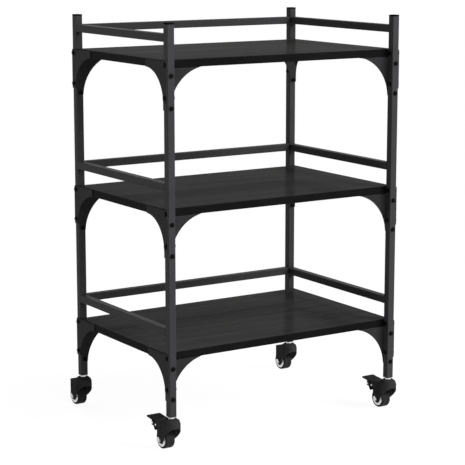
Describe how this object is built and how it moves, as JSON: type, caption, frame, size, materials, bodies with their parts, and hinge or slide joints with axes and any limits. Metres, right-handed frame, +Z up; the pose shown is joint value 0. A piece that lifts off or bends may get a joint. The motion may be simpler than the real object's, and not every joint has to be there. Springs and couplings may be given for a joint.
{
  "type": "bar cart on wheels",
  "caption": "Open serving cart on swivel casters: square-tube posts, flat shelves on curved corner brackets, guard rails at the sides and back, and foot brakes on the front casters.",
  "frame": {"origin": "on the floor under the middle of the whole cart", "axes": "+X along the long side to the right, +Y from the open front to the railed back, +Z up"},
  "size_m": [0.5885, 0.4418, 0.8595],
  "materials": {
    "frame_black": "satin black powder coat on steel tube and sheet",
    "board_black": "matt black wood-grain laminate on board",
    "fastener_black": "blackened steel",
    "cap_black": "moulded black plastic",
    "zinc_steel": "bright zinc plate",
    "fork_black": "semi-gloss black paint on pressed steel",
    "hub_grey": "light grey moulded plastic",
    "tread_black": "dull black rubber tread",
    "shoe_black": "dull black brake shoe"
  },
  "bodies": {
    "frame": {"post_front_left": "frame_black", "post_front_right": "frame_black", "post_rear_left": "frame_black", "post_rear_right": "frame_black", "post_caps": "cap_black", "stem_sockets": "cap_black", "rail_left_lower": "frame_black", "rail_right_lower": "frame_black", "rail_rear_lower": "frame_black", "rail_left_middle": "frame_black", "rail_right_middle": "frame_black", "rail_rear_middle": "frame_black", "rail_left_upper": "frame_black", "rail_right_upper": "frame_black", "rail_rear_upper": "frame_black", "shelf_lower": "board_black", "shelf_middle": "board_black", "shelf_upper": "board_black", "bracket_front_left_lower": "frame_black", "bracket_front_right_lower": "frame_black", "bracket_rear_left_lower": "frame_black", "bracket_rear_right_lower": "frame_black", "bracket_front_left_middle": "frame_black", "bracket_front_right_middle": "frame_black", "bracket_rear_left_middle": "frame_black", "bracket_rear_right_middle": "frame_black", "bracket_front_left_upper": "frame_black", "bracket_front_right_upper": "frame_black", "bracket_rear_left_upper": "frame_black", "bracket_rear_right_upper": "frame_black", "frame_bolts": "fastener_black", "frame_nuts": "fastener_black", "shelf_screws": "fastener_black", "caster_stems": "zinc_steel", "swivel_washers": "zinc_steel"},
    "caster_front_left": {"fork_front_left": "fork_black", "axle_front_left": "zinc_steel", "pedal_pivot_left": "zinc_steel"},
    "wheel_front_left": {"wheel_hub_front_left": "hub_grey", "tyre_front_left": "tread_black"},
    "caster_front_right": {"fork_front_right": "fork_black", "axle_front_right": "zinc_steel", "pedal_pivot_right": "zinc_steel"},
    "wheel_front_right": {"wheel_hub_front_right": "hub_grey", "tyre_front_right": "tread_black"},
    "caster_rear_left": {"fork_rear_left": "fork_black", "axle_rear_left": "zinc_steel"},
    "wheel_rear_left": {"wheel_hub_rear_left": "hub_grey", "tyre_rear_left": "tread_black"},
    "caster_rear_right": {"fork_rear_right": "fork_black", "axle_rear_right": "zinc_steel"},
    "wheel_rear_right": {"wheel_hub_rear_right": "hub_grey", "tyre_rear_right": "tread_black"},
    "pedal_left": {"brake_pedal_left": "fork_black", "brake_shoe_left": "shoe_black", "shoe_pin_left": "zinc_steel"},
    "pedal_right": {"brake_pedal_right": "fork_black", "brake_shoe_right": "shoe_black", "shoe_pin_right": "zinc_steel"}
  },
  "joints": [
    {"name": "swivel_front_left", "type": "hinge", "parent": "frame", "child": "caster_front_left", "pos_m": [-0.2755, -0.20215, 0.067], "axis": [0, 0, 1], "continuous": true},
    {"name": "roll_front_left", "type": "hinge", "parent": "caster_front_left", "child": "wheel_front_left", "pos_m": [-0.2755, -0.17915, 0.02], "axis": [1, 0, 0], "continuous": true},
    {"name": "swivel_front_right", "type": "hinge", "parent": "frame", "child": "caster_front_right", "pos_m": [0.2755, -0.20215, 0.067], "axis": [0, 0, 1], "continuous": true},
    {"name": "roll_front_right", "type": "hinge", "parent": "caster_front_right", "child": "wheel_front_right", "pos_m": [0.2755, -0.17915, 0.02], "axis": [1, 0, 0], "continuous": true},
    {"name": "swivel_rear_left", "type": "hinge", "parent": "frame", "child": "caster_rear_left", "pos_m": [-0.2755, 0.17785, 0.067], "axis": [0, 0, 1], "continuous": true},
    {"name": "roll_rear_left", "type": "hinge", "parent": "caster_rear_left", "child": "wheel_rear_left", "pos_m": [-0.2755, 0.20085, 0.02], "axis": [1, 0, 0], "continuous": true},
    {"name": "swivel_rear_right", "type": "hinge", "parent": "frame", "child": "caster_rear_right", "pos_m": [0.2755, 0.17785, 0.067], "axis": [0, 0, 1], "continuous": true},
    {"name": "roll_rear_right", "type": "hinge", "parent": "caster_rear_right", "child": "wheel_rear_right", "pos_m": [0.2755, 0.20085, 0.02], "axis": [1, 0, 0], "continuous": true},
    {"name": "brake_left", "type": "hinge", "parent": "caster_front_left", "child": "pedal_left", "pos_m": [-0.2755, -0.16215, 0.0461], "axis": [-1, 0, 0], "range_deg": [0, 30]},
    {"name": "brake_right", "type": "hinge", "parent": "caster_front_right", "child": "pedal_right", "pos_m": [0.2755, -0.16215, 0.0461], "axis": [-1, 0, 0], "range_deg": [0, 30]}
  ]
}
